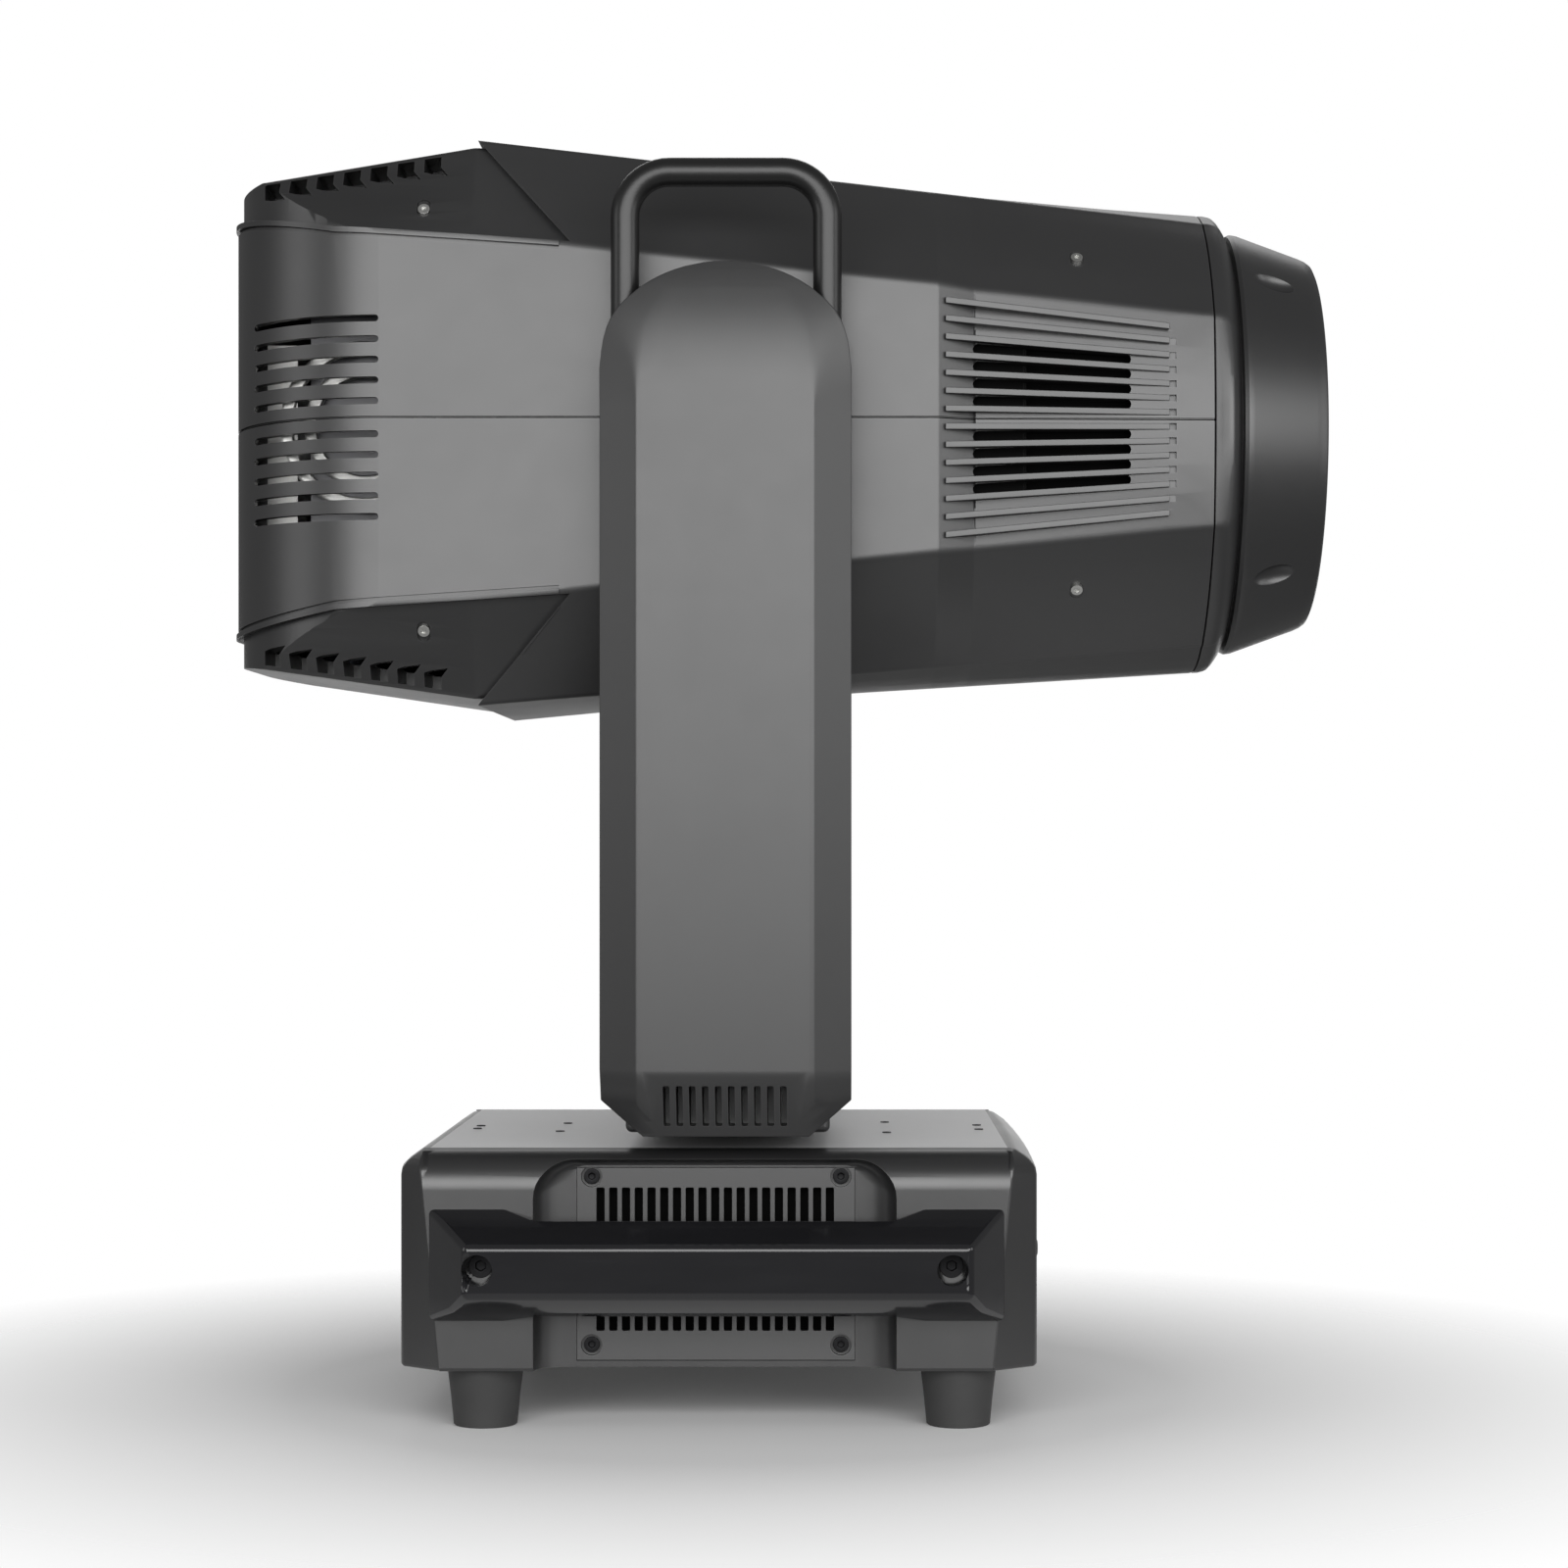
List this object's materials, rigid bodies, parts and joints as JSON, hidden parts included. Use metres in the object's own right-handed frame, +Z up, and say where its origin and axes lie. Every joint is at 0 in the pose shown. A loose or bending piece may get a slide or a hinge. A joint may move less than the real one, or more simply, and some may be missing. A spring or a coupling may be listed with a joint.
{
  "type": "moving head light",
  "caption": "Stage light with a tilting head between the arms of a yoke that pans on a base box with side carry handles.",
  "frame": {"origin": "on the pan axis, level with the bottoms of the feet", "axes": "+X along the beam at rest, +Y along the tilt axis, +Z up along the pan axis"},
  "size_m": [0.719, 0.464, 0.826],
  "materials": {
    "housing": "fine satin texture",
    "top_sheet": "satin",
    "black_bar": "satin powder coat",
    "black_grip": "gloss top, worn smooth",
    "foot_rubber": "matt",
    "frame_steel": "satin",
    "screw_steel": "black oxide",
    "bright_steel": "ground",
    "motor_metal": "satin",
    "pulley_alloy": "machined",
    "belt_rubber": "matt",
    "cooling_alloy": "extruded",
    "fan_plastic": "matt",
    "wheel_metal": "satin",
    "lens_glass": "polished",
    "display_glass": "polished",
    "button_rubber": "matt",
    "socket_plastic": "satin",
    "board_green": "satin"
  },
  "bodies": {
    "base": {"base_tray": "frame_steel", "base_top_plate": "top_sheet", "side_cover_left": "housing", "side_cover_right": "housing", "vent_panel_left": "housing", "vent_panel_right": "housing", "front_end_cover": "housing", "rear_end_cover": "housing", "carry_handle_left": "black_grip", "carry_handle_right": "black_grip", "handle_bolts": "screw_steel", "panel_screws": "screw_steel", "feet": "foot_rubber", "power_sockets": "socket_plastic", "data_sockets": "socket_plastic", "display_window": "display_glass", "power_supply": "motor_metal", "main_board": "board_green", "base_fan_frame": "fan_plastic", "pan_motor": "motor_metal", "pan_belt": "belt_rubber", "pan_bearing": "bright_steel"},
    "base_fan": {"base_fan_rotor": "fan_plastic"},
    "pan_pinion": {"pan_pinion": "pulley_alloy"},
    "yoke": {"pan_shaft": "bright_steel", "pan_pulley": "pulley_alloy", "yoke_crossbar": "frame_steel", "arm_frame_left": "frame_steel", "arm_frame_right": "frame_steel", "arm_cover_left": "housing", "arm_cover_right": "housing", "arm_handle_left": "black_bar", "arm_handle_right": "black_bar", "tilt_motor": "motor_metal", "tilt_belt": "belt_rubber", "tilt_bearings": "bright_steel"},
    "tilt_pinion": {"tilt_pinion": "pulley_alloy"},
    "head": {"tilt_shafts": "bright_steel", "tilt_pulley": "pulley_alloy", "head_frame": "frame_steel", "head_upper_shell": "housing", "head_lower_shell": "housing", "rear_vent_upper": "housing", "rear_vent_lower": "housing", "front_collar": "housing", "lens_hood": "housing", "front_lens": "lens_glass", "heatsink": "cooling_alloy", "led_module": "motor_metal", "head_fan_frame": "fan_plastic", "lens_rails": "bright_steel"},
    "head_fan": {"head_fan_rotor": "fan_plastic"},
    "zoom_carriage": {"zoom_carriage": "pulley_alloy"},
    "focus_carriage": {"focus_carriage": "pulley_alloy"},
    "colour_wheel": {"colour_wheel": "wheel_metal"},
    "gobo_wheel": {"gobo_wheel": "wheel_metal"},
    "menu_button_1": {"menu_button_1": "button_rubber"},
    "menu_button_2": {"menu_button_2": "button_rubber"},
    "menu_button_3": {"menu_button_3": "button_rubber"},
    "menu_button_4": {"menu_button_4": "button_rubber"}
  },
  "joints": [
    {"name": "pan", "type": "hinge", "parent": "base", "child": "yoke", "pos_m": [0, 0, 0.165], "axis": [0, 0, 1], "range_deg": [-270, 270]},
    {"name": "tilt", "type": "hinge", "parent": "yoke", "child": "head", "pos_m": [0, 0, 0.643], "axis": [0, -1, 0], "range_deg": [-135, 135]},
    {"name": "pan_pinion_spin", "type": "hinge", "parent": "base", "child": "pan_pinion", "pos_m": [-0.11, 0, 0.13], "axis": [0, 0, 1], "range_deg": [-1350, 1350]},
    {"name": "tilt_pinion_spin", "type": "hinge", "parent": "yoke", "child": "tilt_pinion", "pos_m": [0, -0.209, 0.443], "axis": [0, -1, 0], "range_deg": [-675, 675]},
    {"name": "base_fan_spin", "type": "hinge", "parent": "base", "child": "base_fan", "pos_m": [0.12, 0, 0.05], "axis": [0, 0, 1], "continuous": true},
    {"name": "head_fan_spin", "type": "hinge", "parent": "head", "child": "head_fan", "pos_m": [-0.3, 0, 0.643], "axis": [1, 0, 0], "continuous": true},
    {"name": "colour_wheel_spin", "type": "hinge", "parent": "head", "child": "colour_wheel", "pos_m": [-0.1185, 0.05, 0.657], "axis": [1, 0, 0], "continuous": true},
    {"name": "gobo_wheel_spin", "type": "hinge", "parent": "head", "child": "gobo_wheel", "pos_m": [-0.1085, -0.05, 0.657], "axis": [1, 0, 0], "continuous": true},
    {"name": "zoom_slide", "type": "slide", "parent": "head", "child": "zoom_carriage", "axis": [1, 0, 0], "range_m": [-0.08, 0.06]},
    {"name": "focus_slide", "type": "slide", "parent": "head", "child": "focus_carriage", "axis": [1, 0, 0], "range_m": [-0.03, 0.045]},
    {"name": "menu_button_1_press", "type": "slide", "parent": "base", "child": "menu_button_1", "axis": [-1, 0, 0], "range_m": [0, 0.0015], "stiffness_N_per_m": 400, "springref_m": -0.002},
    {"name": "menu_button_2_press", "type": "slide", "parent": "base", "child": "menu_button_2", "axis": [-1, 0, 0], "range_m": [0, 0.0015], "stiffness_N_per_m": 400, "springref_m": -0.002},
    {"name": "menu_button_3_press", "type": "slide", "parent": "base", "child": "menu_button_3", "axis": [-1, 0, 0], "range_m": [0, 0.0015], "stiffness_N_per_m": 400, "springref_m": -0.002},
    {"name": "menu_button_4_press", "type": "slide", "parent": "base", "child": "menu_button_4", "axis": [-1, 0, 0], "range_m": [0, 0.0015], "stiffness_N_per_m": 400, "springref_m": -0.002}
  ],
  "couplings": [
    {"joint": "pan_pinion_spin", "follows": "pan", "ratio": 5},
    {"joint": "tilt_pinion_spin", "follows": "tilt", "ratio": 5}
  ]
}
